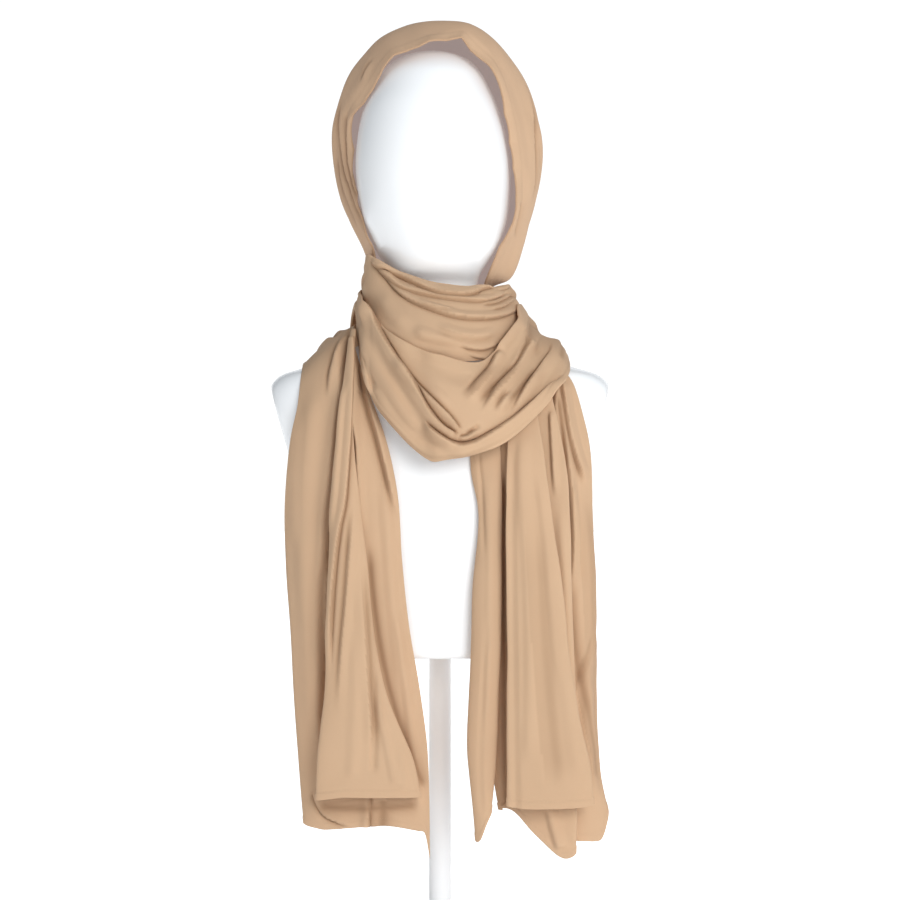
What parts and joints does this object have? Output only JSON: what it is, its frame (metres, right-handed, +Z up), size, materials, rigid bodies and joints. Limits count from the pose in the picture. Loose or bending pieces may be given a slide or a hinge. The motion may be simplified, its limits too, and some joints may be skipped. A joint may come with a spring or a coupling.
{
  "type": "hijab headscarf on a head and shoulders dress form",
  "caption": "Draped jersey headscarf wound round the head and neck, with two long tails hanging forward, on a limbless dress form with a stand.",
  "frame": {"origin": "centre of the underside of the round base", "axes": "+Z up along the stand, -Y the way the face looks, +X to the right of someone looking at the face"},
  "size_m": [0.3334, 0.27, 0.921],
  "materials": {
    "scarf_jersey": "soft matt camel jersey knit with a slight sheen",
    "form_shell": "smooth white gloss",
    "stand_metal": "white powder coat"
  },
  "bodies": {
    "root": {"hood": "scarf_jersey", "chin_wrap": "scarf_jersey", "cowl": "scarf_jersey", "left_tail_back": "scarf_jersey", "left_tail_front": "scarf_jersey", "right_tail_outer": "scarf_jersey", "right_tail_back": "scarf_jersey", "right_tail_front": "scarf_jersey", "right_tail_strip": "scarf_jersey", "form": "form_shell", "stand_pole": "stand_metal", "stand_base": "stand_metal"}
  },
  "joints": []
}
